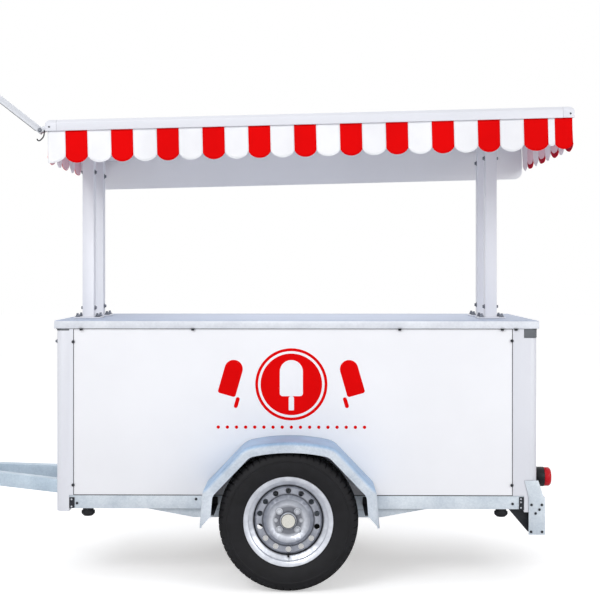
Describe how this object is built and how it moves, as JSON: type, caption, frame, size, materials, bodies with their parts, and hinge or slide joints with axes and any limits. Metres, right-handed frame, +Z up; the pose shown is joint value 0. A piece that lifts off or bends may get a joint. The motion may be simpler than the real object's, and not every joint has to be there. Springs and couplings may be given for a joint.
{
  "type": "ice cream trailer",
  "caption": "Single-axle vending trailer: panelled body, metal counter, posts, roof with scalloped valance, V drawbar, jockey wheel.",
  "frame": {"origin": "middle of the whole trailer's length and width, on the ground", "axes": "+Z up, +X towards the rear of the trailer, drawbar towards -X, customer side towards -Y"},
  "size_m": [2.9616, 1.234, 2.2309],
  "materials": {
    "panel_white": "satin white panel",
    "white_profile": "powder coated aluminium",
    "galvanised": "spangled zinc",
    "counter_metal": "brushed sheet",
    "dark_steel": "black satin",
    "zinc_bright": "bright zinc plate",
    "rubber": "moulded rubber",
    "tyre": "road tyre",
    "rim_silver": "silver paint",
    "valance_cloth": "red and white striped coated cloth",
    "board_grey": "matt board",
    "corner_grey": "moulded corner",
    "black_plastic": "moulded black plastic",
    "lens_red": "red lens",
    "floor_board": "film-faced plywood"
  },
  "bodies": {
    "trailer": {"chassis_rails": "galvanised", "cross_members": "galvanised", "rubber_feet": "rubber", "axle_braces": "galvanised", "axle_beam": "galvanised", "floor_panel": "floor_board", "side_panel": "panel_white", "front_wall": "panel_white", "rear_wall": "panel_white", "corner_posts_front": "white_profile", "corner_posts_rear": "white_profile", "corner_caps": "corner_grey", "vendor_rails": "panel_white", "vendor_panel": "panel_white", "door_hinges": "zinc_bright", "counter_sides": "galvanised", "counter_ends": "galvanised", "counter_bearers": "galvanised", "counter_top": "counter_metal", "mudguard_near": "galvanised", "mudguard_far": "galvanised", "mudguard_stays": "dark_steel", "drawbar_near": "galvanised", "drawbar_far": "galvanised", "drawbar_brackets": "galvanised", "drawbar_nose": "galvanised", "coupling_head": "zinc_bright", "coupling_lever": "zinc_bright", "jockey_clamp": "zinc_bright", "jockey_tube": "zinc_bright", "jockey_crank": "zinc_bright", "roof_posts": "white_profile", "roof_beams": "white_profile", "roof_panel": "panel_white", "fascia_sides": "white_profile", "fascia_ends": "white_profile", "fascia_corners": "white_profile", "valance_near": "valance_cloth", "valance_ends": "valance_cloth", "back_board": "board_grey", "arm_bracket": "dark_steel", "rear_beam": "galvanised", "rear_side_plates": "galvanised", "rear_gussets": "dark_steel", "lamp_bases": "black_plastic", "lamp_lenses": "lens_red"},
    "front_door": {"door_front": "panel_white"},
    "rear_door": {"door_rear": "panel_white"},
    "near_wheel": {"tyre_near": "tyre", "rim_near": "rim_silver", "hub_near": "zinc_bright"},
    "far_wheel": {"tyre_far": "tyre", "rim_far": "rim_silver", "hub_far": "zinc_bright"},
    "jockey_leg_body": {"jockey_leg": "zinc_bright"},
    "jockey_fork_body": {"jockey_fork": "zinc_bright"},
    "jockey_wheel_body": {"jockey_wheel": "rubber"},
    "arm": {"roof_arm": "white_profile"}
  },
  "joints": [
    {"name": "near_wheel_spin", "type": "hinge", "parent": "trailer", "child": "near_wheel", "pos_m": [0.33908, -0.525, 0.283], "axis": [0, 1, 0], "continuous": true},
    {"name": "far_wheel_spin", "type": "hinge", "parent": "trailer", "child": "far_wheel", "pos_m": [0.33908, 0.525, 0.283], "axis": [0, 1, 0], "continuous": true},
    {"name": "front_door_swing", "type": "hinge", "parent": "trailer", "child": "front_door", "pos_m": [-0.55642, 0.406, 0.69], "axis": [0, 0, 1], "range_deg": [0, 110]},
    {"name": "rear_door_swing", "type": "hinge", "parent": "trailer", "child": "rear_door", "pos_m": [1.26458, 0.406, 0.69], "axis": [0, 0, -1], "range_deg": [0, 110]},
    {"name": "jockey_lift", "type": "slide", "parent": "trailer", "child": "jockey_leg_body", "axis": [0, 0, 1], "range_m": [0, 0.14]},
    {"name": "jockey_swivel", "type": "hinge", "parent": "jockey_leg_body", "child": "jockey_fork_body", "pos_m": [-1.13076, -0.13707, 0.213], "axis": [0, 0, 1], "continuous": true},
    {"name": "jockey_spin", "type": "hinge", "parent": "jockey_fork_body", "child": "jockey_wheel_body", "pos_m": [-1.08576, -0.13707, 0.1], "axis": [0, 1, 0], "continuous": true},
    {"name": "arm_swing", "type": "hinge", "parent": "trailer", "child": "arm", "pos_m": [-0.65672, -0.5775, 1.85161], "axis": [0, 1, 0], "range_deg": [-128, 0]}
  ]
}
